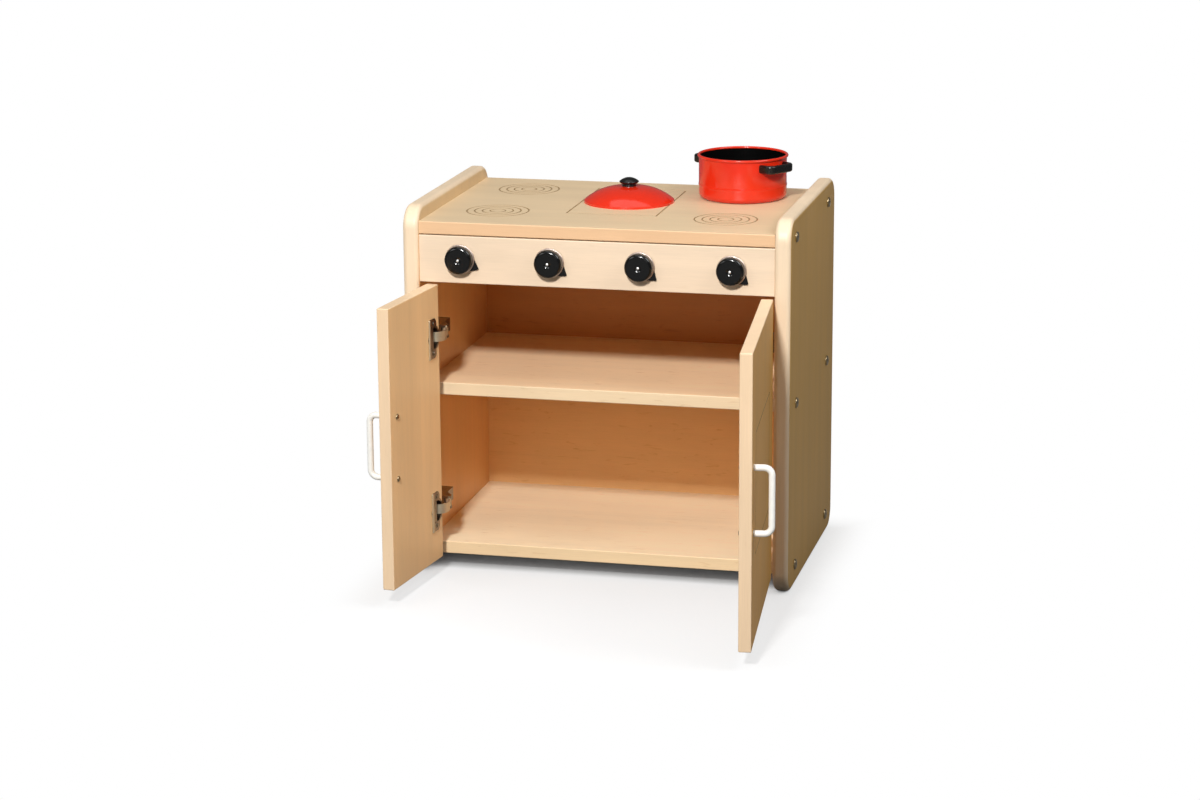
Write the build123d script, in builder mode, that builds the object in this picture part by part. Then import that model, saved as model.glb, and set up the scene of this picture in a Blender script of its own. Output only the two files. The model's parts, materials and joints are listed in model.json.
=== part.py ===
from build123d import *
import os
from math import cos, radians, sin

# Toy oven: a child's wooden cooker with a hob, four knobs, two hinged doors, a cooking pot and a lid.
# Millimetres. +Z is up, +Y is the back, and the origin is the centre of the footprint on the floor.
# The doors are built standing open, at the angles below; every other piece is at its rest place.

os.makedirs("parts", exist_ok=True)

# ---------------------------------------------------------------- driving dimensions
# Carcass
cabinet_width = 600.0
cabinet_depth = 410.0
cabinet_height = 580.0
side_thickness = 25.0
side_corner_radius = 34.0
side_edge_round = 7.5
board_thickness = 19.5          # hob, shelf and bottom board
board_edge_round = 1.5
hob_recess = 22.0               # hob's face, below the top of the sides
hob_front_setback = 6.0         # behind the front edge of the sides
hob_rear_setback = 13.0
shelf_top_height = 300.5
bottom_top_height = 44.5
shelf_front_setback = 32.0
back_thickness = 12.0
back_rear_setback = 15.0

# Control panel
panel_thickness = 18.5
panel_height = 73.0
panel_top_gap = 1.5             # shadow line under the hob

# Doors
door_thickness = 18.5
door_edge_round = 1.5
left_door_width = 189.0
door_side_gap = 2.0
door_middle_gap = 2.0
door_top_gap = 2.2
door_bottom_height = 28.3
door_front_setback = 8.0        # closed outer face, behind the front edge of the sides
left_axis_inset = 5.5           # upright door axis, inside the side's inner face
left_axis_setback = 2.6         # and behind its front edge
right_axis_inset = -2.2
right_axis_setback = 4.8
left_open_angle = 96.7
right_open_angle = 95.7

# Engraved lines
groove_width = 2.4
groove_depth = 0.8
window_side_margin = 60.0
window_height = 178.0
griddle_width = 141.0
griddle_length = 222.0
griddle_front = 111.0           # from the hob's front edge
burner_ring_step = 12.0
burner_ring_count = 4
burner_end_distance = 95.5      # burner centre to the hob's end
burner_front = 108.0            # from the hob's front edge
burner_pitch = 192.0            # front burner to rear burner

# Bolts through the sides, and screws through the back
bolt_diameter = 6.0
bolt_clearance = 0.2            # round the shank
bolt_reach = 32.0               # into the board ends
bolt_head_diameter = 16.0
bolt_head_height = 3.2
bolt_head_round = 2.6
bolt_socket = 4.0               # across the flats
bolt_socket_depth = 2.4
hob_bolt_front = 48.0           # from the side's front edge
shelf_bolt_front = 58.0
bolt_rear = 70.0                # from the side's rear edge
back_screw_diameter = 4.0
back_screw_reach = 22.0
back_screw_head = 8.0
back_screw_head_height = 2.0
back_screw_head_bevel = 1.0
back_screw_end_distance = 50.0
back_screw_columns = 4

# Knobs
knob_end_distance = 65.0        # first knob to the panel's end
knob_count = 4
knob_drop = 35.0                # below the panel's top
knob_cap_diameter = 43.0
knob_cap_depth = 12.0
knob_cap_round = 5.0
knob_dimple_radius = 2.6
knob_dimple_depth = 1.3
skirt_diameter = 45.5
skirt_collar_diameter = 16.0    # the cap's neck, which the skirt ring slips over
skirt_bevel = 1.3
skirt_thickness = 2.6
pointer_base_diameter = 43.0
pointer_base_thickness = 2.4
pointer_reach = 33.0
pointer_half_angle = 38.0      # between the pointer's middle and each of its sides
pointer_tip_round = 1.2
pointer_angles = (-27.0, -35.0, -38.0, -38.5)
knob_panel_gap = 0.6
spindle_diameter = 8.0
spindle_clearance = 0.05
spindle_flat = 1.2              # cut off one side where the cap grips it
spindle_grip = 9.0              # length inside the cap
spindle_tail = 9.0              # behind the control panel
nut_across_flats = 13.0
nut_thickness = 5.0

# Door handles
handle_rod = 9.5
handle_centres = 96.0
handle_stand_off = 26.0         # door face to the middle of the grip
handle_bend_radius = 11.0
handle_edge_distance = 24.0     # from the door's free edge
handle_screw = 4.0
handle_screw_head = 8.5
handle_screw_head_height = 2.6
handle_screw_head_round = 2.1
handle_screw_reach = 11.0       # into the rod

# Concealed hinges
hinge_end_distance = 80.0       # hinge centre to the door's end
cup_diameter = 35.0
cup_depth = 11.5
cup_wall = 1.0
cup_clearance = 0.1
cup_edge_distance = 22.0        # cup centre to the door's edge
flange_thickness = 1.5
flange_collar = 40.0
flange_length = 62.0
flange_width = 16.0
flange_screw_pitch = 46.0
flange_screw = 3.5
flange_screw_head = 7.0
flange_screw_head_height = 1.2
hinge_screw_reach = 12.0
plate_setback = 62.0            # screw line, behind the side's front edge
plate_thickness = 2.0
plate_length = 48.0             # along the arm
plate_width = 24.0
plate_wing_length = 50.0
plate_wing_width = 15.0
plate_screw_pitch = 32.0
plate_screw = 4.0
plate_screw_head = 7.5
plate_screw_head_height = 1.6
arm_width = 20.0                # upright width of the arm
arm_rear_height = 24.0          # off the side's inner face
arm_front_height = 35.5
arm_shoulder = 8.0              # in front of the screw line
arm_corner_round = 2.4
arm_door_gap = 2.4              # closed door's inner face to the arm's nose
arm_slot_clearance = 0.3
pivot_diameter = 5.0
pivot_clearance = 0.05
pivot_height = 31.0             # off the side's inner face
link_width = 12.0
link_thickness = 2.4
link_hub_diameter = 9.0
# The link's curve at rest, as (further off the side than the pivot, in front of the pivot)
link_curve = ((6.5, 20.0), (6.0, 32.0), (-1.5, 41.5), (-7.5, 44.0))

# Cooking pot
pot_burner_offset = (-10.0, -2.0)   # from the middle of the rear right burner
pot_radius = 69.4
pot_height = 70.0
pot_wall = 2.0
pot_bottom_round = 9.0
pot_rim_roll = 4.6              # diameter of the rolled rim
pot_handle_angle = -34.3
pot_handle_drop = 14.5          # below the rim
pot_handle_reach = 19.5         # pot wall to the outside of the grip
pot_handle_width = 56.0
pot_handle_thickness = 8.0
pot_handle_height = 13.0
pot_handle_corner = 13.0        # outside
pot_handle_inner_corner = 9.0
pot_handle_round = 3.0

# Lid
lid_griddle_offset = (2.5, 2.0)     # from the middle of the griddle
lid_radius = 70.8
lid_band = 3.5                  # upright band round the edge
lid_dome_height = 25.0
lid_wall = 1.8
lid_seat_radius = 12.0          # flat crown under the knob
lid_knob_foot_radius = 11.0
lid_knob_waist_radius = 10.2
lid_knob_waist_height = 4.6
lid_knob_cap_radius = 15.6
lid_knob_lip = 2.2              # bevel under the cap's edge, inwards
lid_knob_lip_height = 2.75
lid_knob_height = 13.8
lid_screw = 4.0
lid_screw_reach = 8.3           # into the knob
lid_screw_head = 9.0
lid_screw_head_height = 2.2
lid_screw_head_round = 1.5

# ---------------------------------------------------------------- worked out from them
half_inner = cabinet_width / 2 - side_thickness
side_front = -cabinet_depth / 2
side_rear = cabinet_depth / 2
hob_top_height = cabinet_height - hob_recess
hob_front = side_front + hob_front_setback
hob_rear = side_rear - hob_rear_setback
hob_underside = hob_top_height - board_thickness
back_rear = side_rear - back_rear_setback
back_front = back_rear - back_thickness
shelf_front = side_front + shelf_front_setback
bottom_underside = bottom_top_height - board_thickness

panel_face = hob_front
panel_rear = panel_face + panel_thickness
panel_top = hob_underside - panel_top_gap
panel_bottom_height = panel_top - panel_height
knob_height = panel_top - knob_drop

opening_width = 2 * half_inner
knob_pitch = (opening_width - 2 * knob_end_distance) / (knob_count - 1)
right_door_width = opening_width - left_door_width - 2 * door_side_gap - door_middle_gap
door_top = panel_bottom_height - door_top_gap
door_height = door_top - door_bottom_height
door_middle = (door_top + door_bottom_height) / 2
door_closed_inner = side_front + door_front_setback + door_thickness
hinge_offset = door_height / 2 - hinge_end_distance
hinge_heights = (door_middle - hinge_offset, door_middle + hinge_offset)

LEFT, RIGHT = -1, 1
sides = {"left": LEFT, "right": RIGHT}
door_width = {LEFT: left_door_width, RIGHT: right_door_width}
open_angle = {LEFT: left_open_angle, RIGHT: right_open_angle}
door_axis = {
    LEFT: (-(half_inner - left_axis_inset), side_front + left_axis_setback),
    RIGHT: (half_inner - right_axis_inset, side_front + right_axis_setback),
}


def save(builder, name):
    """Label a finished piece and write its STEP file."""
    builder.part.label = name
    export_step(builder.part, f"parts/{name}.step")


def door_plane(side, outside=0.0):
    """Plane of an open door. Its origin is the hinge edge at mid height, on the door's inner face,
    x runs to the free edge and z points out of the door; outside shifts it that way."""
    turn = radians(side * open_angle[side])
    axis_x, axis_y = door_axis[side]
    closed_x = side * (half_inner - door_side_gap) - axis_x
    closed_y = door_closed_inner - axis_y
    corner = (
        axis_x + closed_x * cos(turn) - closed_y * sin(turn),
        axis_y + closed_x * sin(turn) + closed_y * cos(turn),
        door_middle,
    )
    along = (-side * cos(turn), -side * sin(turn), 0)
    outward = (sin(turn), -cos(turn), 0)
    return Plane(origin=corner, x_dir=along, z_dir=outward).offset(outside)


def knob_plane(index, outside=0.0):
    """Plane on the control panel's face at one knob, x along its pointer and z towards the cook."""
    x = (index - (knob_count - 1) / 2) * knob_pitch
    turn = radians(pointer_angles[index % len(pointer_angles)])
    centre = (x, panel_face, knob_height)
    return Plane(origin=centre, x_dir=(cos(turn), 0, sin(turn)), z_dir=(0, -1, 0)).offset(outside)


# ---------------------------------------------------------------- carcass
hob_bolt_y = (side_front + hob_bolt_front, side_rear - bolt_rear)
shelf_bolt_y = (side_front + shelf_bolt_front, side_rear - bolt_rear)
board_middles = {
    "hob": hob_top_height - board_thickness / 2,
    "shelf": shelf_top_height - board_thickness / 2,
    "bottom": bottom_top_height - board_thickness / 2,
}
bolt_points = {
    "hob": [(y, board_middles["hob"]) for y in hob_bolt_y],
    "shelf": [(y, board_middles["shelf"]) for y in shelf_bolt_y],
    "bottom": [(y, board_middles["bottom"]) for y in shelf_bolt_y],
}
all_bolt_points = [point for points in bolt_points.values() for point in points]
bolt_hole_radius = bolt_diameter / 2 + bolt_clearance
back_screw_pitch = (opening_width - 2 * back_screw_end_distance) / (back_screw_columns - 1)
back_screw_xs = [
    (column - (back_screw_columns - 1) / 2) * back_screw_pitch for column in range(back_screw_columns)
]
back_screw_points = [(x, board_middles[board]) for board in ("bottom", "shelf") for x in back_screw_xs]


def drill_board_ends(points):
    """Bolt holes in both ends of a board that spans the carcass."""
    for side in (LEFT, RIGHT):
        with BuildSketch(Plane.YZ.offset(side * half_inner)) as holes:
            with Locations(*points):
                Circle(bolt_hole_radius)
        extrude(holes.sketch, amount=-side * (bolt_reach + bolt_clearance), mode=Mode.SUBTRACT)


def drill_board_rear(board):
    """Pilot holes for the back screws, in a board's rear edge."""
    with BuildSketch(Plane.XZ.offset(-back_front)) as holes:
        with Locations(*[(x, board_middles[board]) for x in back_screw_xs]):
            Circle(back_screw_diameter / 2)
    extrude(holes.sketch, amount=back_screw_reach - back_thickness, mode=Mode.SUBTRACT)


for name, side in sides.items():
    outer_face = side * cabinet_width / 2
    with BuildPart() as side_panel:
        with BuildSketch(Plane.YZ.offset(outer_face)):
            with Locations((0, cabinet_height / 2)):
                RectangleRounded(cabinet_depth, cabinet_height, side_corner_radius)
        extrude(amount=-side * side_thickness)
        fillet(side_panel.faces().filter_by(Axis.X).edges(), side_edge_round)
        with BuildSketch(Plane.YZ.offset(outer_face)):
            with Locations(*all_bolt_points):
                Circle(bolt_hole_radius)
        extrude(amount=-side * side_thickness, mode=Mode.SUBTRACT)
        with BuildSketch(Plane.YZ.offset(side * half_inner)):
            for height in hinge_heights:
                with Locations((side_front + plate_setback, height)):
                    with GridLocations(0, plate_screw_pitch, 1, 2):
                        Circle(plate_screw / 2)
        extrude(amount=side * (hinge_screw_reach - plate_thickness), mode=Mode.SUBTRACT)
    save(side_panel, f"{name}_side_panel")

    with BuildPart() as side_bolts:
        with BuildSketch(Plane.YZ.offset(outer_face)):
            with Locations(*all_bolt_points):
                Circle(bolt_diameter / 2)
        extrude(amount=-side * (side_thickness + bolt_reach))
        with BuildSketch(Plane.YZ.offset(outer_face)):
            with Locations(*all_bolt_points):
                Circle(bolt_head_diameter / 2)
        extrude(amount=side * bolt_head_height)
        head_rims = side_bolts.faces().sort_by(Axis.X, reverse=side > 0)[: len(all_bolt_points)].edges()
        fillet(head_rims, bolt_head_round)
        with BuildSketch(Plane.YZ.offset(outer_face + side * bolt_head_height)):
            with Locations(*all_bolt_points):
                RegularPolygon(bolt_socket / 2, 6, major_radius=False)
        extrude(amount=-side * bolt_socket_depth, mode=Mode.SUBTRACT)
    save(side_bolts, f"{name}_side_bolts")

burner_x = half_inner - burner_end_distance
burner_rows = (hob_front + burner_front, hob_front + burner_front + burner_pitch)
burner_centres = [(side * burner_x, y) for side in (LEFT, RIGHT) for y in burner_rows]
griddle_middle = hob_front + griddle_front + griddle_length / 2
with BuildPart() as hob_top:
    with BuildSketch(Plane.XY.offset(hob_underside)):
        with Locations((0, (hob_front + hob_rear) / 2)):
            Rectangle(opening_width, hob_rear - hob_front)
    extrude(amount=board_thickness)
    fillet(hob_top.faces().sort_by(Axis.Y)[0].edges().filter_by(Axis.X), board_edge_round)
    with BuildSketch(Plane.XY.offset(hob_top_height)):
        for ring in range(burner_ring_count, 0, -1):
            with Locations(*burner_centres):
                Circle(ring * burner_ring_step + groove_width / 2)
            with Locations(*burner_centres):
                Circle(ring * burner_ring_step - groove_width / 2, mode=Mode.SUBTRACT)
        with Locations((0, griddle_middle)):
            Rectangle(griddle_width + groove_width, griddle_length + groove_width)
            Rectangle(griddle_width - groove_width, griddle_length - groove_width, mode=Mode.SUBTRACT)
    extrude(amount=-groove_depth, mode=Mode.SUBTRACT)
    drill_board_ends(bolt_points["hob"])
save(hob_top, "hob_top")

with BuildPart() as control_panel:
    with BuildSketch(Plane.XZ.offset(-panel_face)):
        with Locations((0, (panel_bottom_height + panel_top) / 2)):
            Rectangle(opening_width, panel_top - panel_bottom_height)
        with Locations((0, knob_height)):
            with GridLocations(knob_pitch, 0, knob_count, 1):
                Circle(spindle_diameter / 2 + spindle_clearance, mode=Mode.SUBTRACT)
    extrude(amount=-panel_thickness)
    front_edges = control_panel.faces().sort_by(Axis.Y)[0].outer_wire().edges().filter_by(Axis.X)
    fillet(front_edges, board_edge_round)
save(control_panel, "control_panel")

for board, top_height in (("shelf", shelf_top_height), ("bottom", bottom_top_height)):
    with BuildPart() as plain_board:
        with BuildSketch(Plane.XY.offset(top_height - board_thickness)):
            with Locations((0, (shelf_front + back_front) / 2)):
                Rectangle(opening_width, back_front - shelf_front)
        extrude(amount=board_thickness)
        fillet(plain_board.faces().sort_by(Axis.Y)[0].edges().filter_by(Axis.X), board_edge_round)
        drill_board_ends(bolt_points[board])
        drill_board_rear(board)
    save(plain_board, "shelf" if board == "shelf" else "bottom_board")

with BuildPart() as back_panel:
    with BuildSketch(Plane.XZ.offset(-back_front)):
        with Locations((0, (bottom_underside + hob_underside) / 2)):
            Rectangle(opening_width, hob_underside - bottom_underside)
        with Locations(*back_screw_points):
            Circle(back_screw_diameter / 2, mode=Mode.SUBTRACT)
    extrude(amount=-back_thickness)
save(back_panel, "back_panel")

with BuildPart() as back_screws:
    with BuildSketch(Plane.XZ.offset(-back_rear)):
        with Locations(*back_screw_points):
            Circle(back_screw_diameter / 2)
    extrude(amount=back_screw_reach)
    with BuildSketch(Plane.XZ.offset(-back_rear)):
        with Locations(*back_screw_points):
            Circle(back_screw_head / 2)
    extrude(amount=-back_screw_head_height)
    screw_tops = back_screws.faces().sort_by(Axis.Y)[-len(back_screw_points):].edges()
    chamfer(screw_tops, back_screw_head_bevel)
save(back_screws, "back_screws")

# ---------------------------------------------------------------- knobs
skirt_back = knob_panel_gap + pointer_base_thickness
cap_back = skirt_back + skirt_thickness
cap_front = cap_back + knob_cap_depth
spindle_bore = spindle_diameter / 2
collar_radius = skirt_collar_diameter / 2
# Where a square from the knob's middle meets one side of the pointer, inside the round base
foot_x = pointer_reach * sin(radians(pointer_half_angle)) ** 2
foot_y = pointer_reach * sin(radians(pointer_half_angle)) * cos(radians(pointer_half_angle))

for index in range(knob_count):
    number = index + 1
    with BuildPart() as knob_cap:
        with BuildSketch(knob_plane(index, knob_panel_gap)) as pointer:
            Circle(pointer_base_diameter / 2)
            with BuildLine():
                Polyline((0, 0), (foot_x, -foot_y), (pointer_reach, 0), (foot_x, foot_y), close=True)
            make_face()
            fillet(pointer.vertices().sort_by(Axis.X)[-1], pointer_tip_round)
        extrude(amount=pointer_base_thickness)
        with BuildSketch(knob_plane(index, skirt_back)):
            Circle(collar_radius)
        extrude(amount=skirt_thickness)
        with BuildSketch(knob_plane(index, cap_back)):
            Circle(knob_cap_diameter / 2)
        extrude(amount=knob_cap_depth)
        rims = knob_cap.edges().filter_by(GeomType.CIRCLE)
        fillet(rims.sort_by(Axis.Y)[0], knob_cap_round)
        with BuildSketch(knob_plane(index, cap_front)):
            Circle(knob_dimple_radius)
        extrude(amount=-knob_dimple_depth, mode=Mode.SUBTRACT)
        with BuildSketch(knob_plane(index, knob_panel_gap)):
            Circle(spindle_bore)
        extrude(amount=cap_back - knob_panel_gap, mode=Mode.SUBTRACT)
        with BuildSketch(knob_plane(index, cap_back)):
            Circle(spindle_bore)
            with Locations((spindle_bore, 0)):
                Rectangle(2 * spindle_flat, spindle_diameter, mode=Mode.SUBTRACT)
        extrude(amount=spindle_grip, mode=Mode.SUBTRACT)
    save(knob_cap, f"knob_{number}_cap")

    with BuildPart() as knob_skirt:
        with BuildSketch(knob_plane(index, skirt_back)):
            Circle(skirt_diameter / 2)
            Circle(collar_radius, mode=Mode.SUBTRACT)
        extrude(amount=skirt_thickness)
        skirt_rim = knob_skirt.edges().filter_by(GeomType.CIRCLE).sort_by(SortBy.RADIUS)[-2:]
        chamfer(skirt_rim.sort_by(Axis.Y)[0], skirt_bevel)
    save(knob_skirt, f"knob_{number}_skirt")

    tail_end = panel_thickness + spindle_tail
    with BuildPart() as knob_spindle:
        with BuildSketch(knob_plane(index, -tail_end)):
            Circle(spindle_diameter / 2)
        extrude(amount=tail_end + cap_back + spindle_grip)
        with BuildSketch(knob_plane(index, cap_back)):
            with Locations((spindle_bore, 0)):
                Rectangle(2 * spindle_flat, spindle_diameter)
        extrude(amount=spindle_grip, mode=Mode.SUBTRACT)
    save(knob_spindle, f"knob_{number}_spindle")

    with BuildPart() as knob_nut:
        with BuildSketch(knob_plane(index, -panel_thickness - knob_panel_gap)):
            RegularPolygon(nut_across_flats / 2, 6, major_radius=False)
            Circle(spindle_diameter / 2, mode=Mode.SUBTRACT)
        extrude(amount=-nut_thickness)
    save(knob_nut, f"knob_{number}_nut")

# ---------------------------------------------------------------- doors, handles and hinge cups
cup_points = [(cup_edge_distance, offset) for offset in (-hinge_offset, hinge_offset)]
flange_screw_points = [
    (cup_edge_distance, centre + end * flange_screw_pitch / 2)
    for centre in (-hinge_offset, hinge_offset)
    for end in (-1, 1)
]

for name, side in sides.items():
    width = door_width[side]
    handle_x = width - handle_edge_distance
    handle_points = [(handle_x, end * handle_centres / 2) for end in (-1, 1)]

    with BuildPart() as door_panel:
        with BuildSketch(door_plane(side)):
            with Locations((width / 2, 0)):
                Rectangle(width, door_height)
        extrude(amount=door_thickness)
        fillet(door_panel.edges(), door_edge_round)
        with BuildSketch(door_plane(side)):
            with Locations(*cup_points):
                Circle(cup_diameter / 2 + cup_clearance)
        extrude(amount=cup_depth + cup_clearance, mode=Mode.SUBTRACT)
        with BuildSketch(door_plane(side)):
            with Locations(*flange_screw_points):
                Circle(flange_screw / 2)
        extrude(amount=hinge_screw_reach - flange_thickness, mode=Mode.SUBTRACT)
        with BuildSketch(door_plane(side)):
            with Locations(*handle_points):
                Circle(handle_screw / 2)
        extrude(amount=door_thickness, mode=Mode.SUBTRACT)
        if side == RIGHT:
            window_width = width - 2 * window_side_margin
            with BuildSketch(door_plane(side, door_thickness)):
                with Locations((width / 2, 0)):
                    Rectangle(window_width + groove_width, window_height + groove_width)
                    Rectangle(window_width - groove_width, window_height - groove_width, mode=Mode.SUBTRACT)
            extrude(amount=-groove_depth, mode=Mode.SUBTRACT)
    save(door_panel, f"{name}_door_panel")

    door_face = door_plane(side, door_thickness)
    handle_plane = Plane(
        origin=door_face.from_local_coords((handle_x, 0, 0)), x_dir=door_face.z_dir, z_dir=door_face.x_dir
    )
    with BuildPart() as door_handle:
        with BuildLine(handle_plane) as handle_path:
            FilletPolyline(
                (0, -handle_centres / 2),
                (handle_stand_off, -handle_centres / 2),
                (handle_stand_off, handle_centres / 2),
                (0, handle_centres / 2),
                radius=handle_bend_radius,
            )
        with BuildSketch(Plane(origin=handle_path.line @ 0, z_dir=handle_path.line % 0)):
            Circle(handle_rod / 2)
        sweep()
        with BuildSketch(door_face):
            with Locations(*handle_points):
                Circle(handle_screw / 2)
        extrude(amount=handle_screw_reach, mode=Mode.SUBTRACT)
    save(door_handle, f"{name}_door_handle")

    with BuildPart() as handle_screws:
        with BuildSketch(door_plane(side)):
            with Locations(*handle_points):
                Circle(handle_screw / 2)
        extrude(amount=door_thickness + handle_screw_reach)
        with BuildSketch(door_plane(side, -handle_screw_head_height)):
            with Locations(*handle_points):
                Circle(handle_screw_head / 2)
        extrude(amount=handle_screw_head_height)
        domes = handle_screws.edges().filter_by(GeomType.CIRCLE)
        domes = domes.sort_by(lambda edge: door_plane(side).to_local_coords(edge.center()).Z)[:2]
        fillet(domes, handle_screw_head_round)
    save(handle_screws, f"{name}_handle_screws")

    for level, cup_point in zip(("lower", "upper"), sorted(cup_points, key=lambda point: side * point[1])):
        screw_points = [p for p in flange_screw_points if abs(p[1] - cup_point[1]) < flange_screw_pitch]
        with BuildPart() as hinge_cup:
            with BuildSketch(door_plane(side)):
                with Locations(cup_point):
                    Circle(flange_collar / 2)
                    SlotOverall(flange_length, flange_width, rotation=90)
                with Locations(*screw_points):
                    Circle(flange_screw / 2, mode=Mode.SUBTRACT)
            extrude(amount=-flange_thickness)
            with BuildSketch(door_plane(side)):
                with Locations(cup_point):
                    Circle(cup_diameter / 2)
            extrude(amount=cup_depth)
            with BuildSketch(door_plane(side, -flange_thickness)):
                with Locations(cup_point):
                    Circle(cup_diameter / 2 - cup_wall)
            extrude(amount=flange_thickness + cup_depth - cup_wall, mode=Mode.SUBTRACT)
        save(hinge_cup, f"{name}_{level}_hinge_cup")

    with BuildPart() as cup_screws:
        with BuildSketch(door_plane(side, -flange_thickness)):
            with Locations(*flange_screw_points):
                Circle(flange_screw / 2)
        extrude(amount=hinge_screw_reach)
        with BuildSketch(door_plane(side, -flange_thickness)):
            with Locations(*flange_screw_points):
                Circle(flange_screw_head / 2)
        extrude(amount=-flange_screw_head_height)
    save(cup_screws, f"{name}_cup_screws")

# ---------------------------------------------------------------- hinge plates, arms and links
plate_y = side_front + plate_setback
arm_nose = door_closed_inner + arm_door_gap
pivot_y = arm_nose + link_hub_diameter / 2
arm_tail = plate_y + plate_length / 2


def off_side(side, height, y):
    """Point in plan, at a height off the inner face of one side panel."""
    return (side * (half_inner - height), y)


for name, side in sides.items():
    pivot = off_side(side, pivot_height, pivot_y)

    for level, height in zip(("lower", "upper"), hinge_heights):
        with BuildPart() as hinge_plate:
            with BuildSketch(Plane.YZ.offset(side * half_inner)):
                with Locations((plate_y, height)):
                    Rectangle(plate_length, plate_width)
                    SlotOverall(plate_wing_length, plate_wing_width, rotation=90)
                    with GridLocations(0, plate_screw_pitch, 1, 2):
                        Circle(plate_screw / 2, mode=Mode.SUBTRACT)
            extrude(amount=-side * plate_thickness)
        save(hinge_plate, f"{name}_{level}_hinge_plate")

        with BuildPart() as hinge_arm:
            with BuildSketch(Plane.XY.offset(height - arm_width / 2)):
                with BuildLine():
                    Polyline(
                        off_side(side, plate_thickness, arm_tail),
                        off_side(side, arm_rear_height, arm_tail),
                        off_side(side, arm_rear_height, plate_y - arm_shoulder),
                        off_side(side, arm_front_height, pivot_y + link_hub_diameter / 2),
                        off_side(side, arm_front_height, arm_nose),
                        off_side(side, arm_rear_height, arm_nose),
                        off_side(side, plate_thickness, plate_y - plate_length / 2),
                        close=True,
                    )
                make_face()
            extrude(amount=arm_width)
            upright_edges = hinge_arm.edges().filter_by(Axis.Z)
            outer_corners = upright_edges.sort_by(Axis.X, reverse=side < 0)[:4]
            fillet(outer_corners, arm_corner_round)
            slot_height = link_width + 2 * arm_slot_clearance
            with BuildSketch(Plane.XY.offset(height - slot_height / 2)):
                with Locations(pivot):
                    Circle(link_hub_diameter / 2 + arm_slot_clearance + link_thickness)
                with Locations(off_side(side, arm_front_height, arm_nose)):
                    Rectangle(2 * arm_slot_clearance + link_hub_diameter, arm_width)
            extrude(amount=slot_height, mode=Mode.SUBTRACT)
            with BuildSketch(Plane.XY.offset(height - arm_width / 2)):
                with Locations(pivot):
                    Circle(pivot_diameter / 2)
            extrude(amount=arm_width)
        save(hinge_arm, f"{name}_{level}_hinge_arm")

    with BuildPart() as plate_screws:
        for height in hinge_heights:
            with BuildSketch(Plane.YZ.offset(side * (half_inner - plate_thickness))):
                with Locations((plate_y, height)):
                    with GridLocations(0, plate_screw_pitch, 1, 2):
                        Circle(plate_screw / 2)
            extrude(amount=side * hinge_screw_reach)
            with BuildSketch(Plane.YZ.offset(side * (half_inner - plate_thickness))):
                with Locations((plate_y, height)):
                    with GridLocations(0, plate_screw_pitch, 1, 2):
                        Circle(plate_screw_head / 2)
            extrude(amount=-side * plate_screw_head_height)
    save(plate_screws, f"{name}_plate_screws")

    with BuildPart() as hinge_links:
        for height in hinge_heights:
            with BuildSketch(Plane.XY.offset(height - link_width / 2)):
                with BuildLine():
                    Spline(
                        pivot,
                        *[off_side(side, pivot_height + rise, pivot_y - reach) for rise, reach in link_curve],
                    )
                trace(line_width=link_thickness)
                with Locations(pivot):
                    Circle(link_hub_diameter / 2)
                    Circle(pivot_diameter / 2 + pivot_clearance, mode=Mode.SUBTRACT)
            extrude(amount=link_width)
    save(hinge_links, f"{name}_hinge_links")

# ---------------------------------------------------------------- cooking pot
pot_centre_x = burner_x + pot_burner_offset[0]
pot_centre_y = burner_rows[1] + pot_burner_offset[1]
pot_axis = Axis((pot_centre_x, pot_centre_y, hob_top_height), (0, 0, 1))
pot_section = Plane(origin=pot_axis.position, x_dir=(1, 0, 0), z_dir=(0, -1, 0))
rim_roll_radius = pot_rim_roll / 2
rim_height = pot_height - rim_roll_radius

with BuildPart() as pot_body:
    with BuildSketch(pot_section):
        with BuildLine():
            inside = pot_radius - pot_wall
            flat = pot_radius - pot_bottom_round
            Line((0, 0), (flat, 0))
            TangentArc((flat, 0), (pot_radius, pot_bottom_round), tangent=(1, 0))
            Line((pot_radius, pot_bottom_round), (pot_radius, rim_height))
            Line((pot_radius, rim_height), (inside, rim_height))
            Line((inside, rim_height), (inside, pot_bottom_round))
            TangentArc((flat, pot_wall), (inside, pot_bottom_round), tangent=(1, 0))
            Line((flat, pot_wall), (0, pot_wall))
            Line((0, pot_wall), (0, 0))
        make_face()
        with Locations((pot_radius, rim_height)):
            Circle(rim_roll_radius)
    revolve(axis=pot_axis)
save(pot_body, "pot_body")

pot_handle_base = hob_top_height + pot_height - pot_handle_drop - pot_handle_height / 2
loop_reach = pot_radius + pot_handle_reach
for name, turn in (("front", pot_handle_angle), ("rear", pot_handle_angle + 180)):
    away = (cos(radians(turn)), sin(radians(turn)), 0)
    loop_plane = Plane(origin=(pot_centre_x, pot_centre_y, pot_handle_base), x_dir=away, z_dir=(0, 0, 1))
    with BuildPart() as pot_handle:
        with BuildSketch(loop_plane):
            with Locations((loop_reach / 2, 0)):
                RectangleRounded(loop_reach, pot_handle_width, pot_handle_corner)
                RectangleRounded(
                    loop_reach - 2 * pot_handle_thickness,
                    pot_handle_width - 2 * pot_handle_thickness,
                    pot_handle_inner_corner,
                    mode=Mode.SUBTRACT,
                )
            Circle(pot_radius, mode=Mode.SUBTRACT)
        extrude(amount=pot_handle_height)
        rims = pot_handle.faces().filter_by(Axis.Z).edges()
        wall_arcs = rims.filter_by(GeomType.CIRCLE).filter_by(lambda edge: edge.radius > pot_radius - pot_wall)
        fillet(rims - wall_arcs, pot_handle_round)
    save(pot_handle, f"pot_{name}_handle")

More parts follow.
